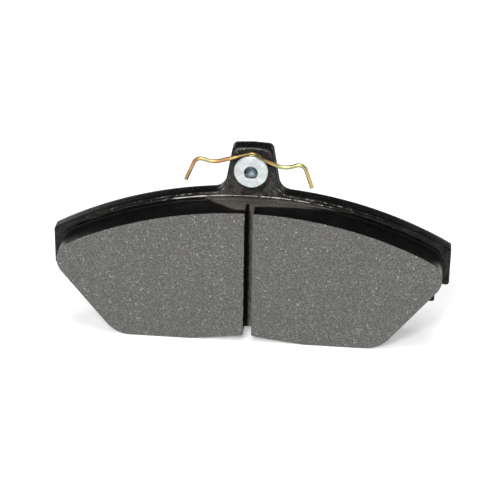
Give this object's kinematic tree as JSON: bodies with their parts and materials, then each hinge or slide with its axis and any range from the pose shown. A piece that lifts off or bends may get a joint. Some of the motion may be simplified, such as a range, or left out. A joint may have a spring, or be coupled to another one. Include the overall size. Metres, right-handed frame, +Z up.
{
  "type": "disc brake pad",
  "caption": "Disc brake pad with an arched steel back plate, a slotted friction block and a wire anti-rattle spring riveted to its top tab.",
  "frame": {"origin": "middle of the footprint, on the surface that the pad's lower edge stands on", "axes": "+X along the pad's length, +Y from the friction face to the back of the plate, +Z up to the spring tab"},
  "size_m": [0.1304, 0.0172, 0.0654],
  "materials": {
    "friction_compound": "moulded friction compound, ground face with pale and brass-coloured specks",
    "bonding_layer": "denser moulded layer that bonds the block to the plate",
    "black_paint": "semi-gloss black paint over stamped steel",
    "zinc_plate": "bright zinc-plated steel",
    "yellow_zinc": "spring steel wire with iridescent yellow passivation"
  },
  "bodies": {
    "pad": {"back_plate": "black_paint", "underlayer": "bonding_layer", "friction_block": "friction_compound", "spring_rivet": "zinc_plate"},
    "spring": {"spring_coil": "yellow_zinc"},
    "left_arm": {"spring_arm_left": "yellow_zinc"},
    "right_arm": {"spring_arm_right": "yellow_zinc"}
  },
  "joints": [
    {"name": "spring_swivel", "type": "hinge", "parent": "pad", "child": "spring", "pos_m": [0, 0.00035, 0.0587], "axis": [0, 1, 0], "range_deg": [-5, 5]},
    {"name": "left_arm_flex", "type": "hinge", "parent": "spring", "child": "left_arm", "pos_m": [-0.00479, 0.00115, 0.06221], "axis": [0, -1, 0], "range_deg": [-3, 12], "stiffness_Nm_per_rad": 2},
    {"name": "right_arm_flex", "type": "hinge", "parent": "spring", "child": "right_arm", "pos_m": [0.00494, -0.00045, 0.06182], "axis": [0, 1, 0], "range_deg": [-3, 12], "stiffness_Nm_per_rad": 2}
  ]
}
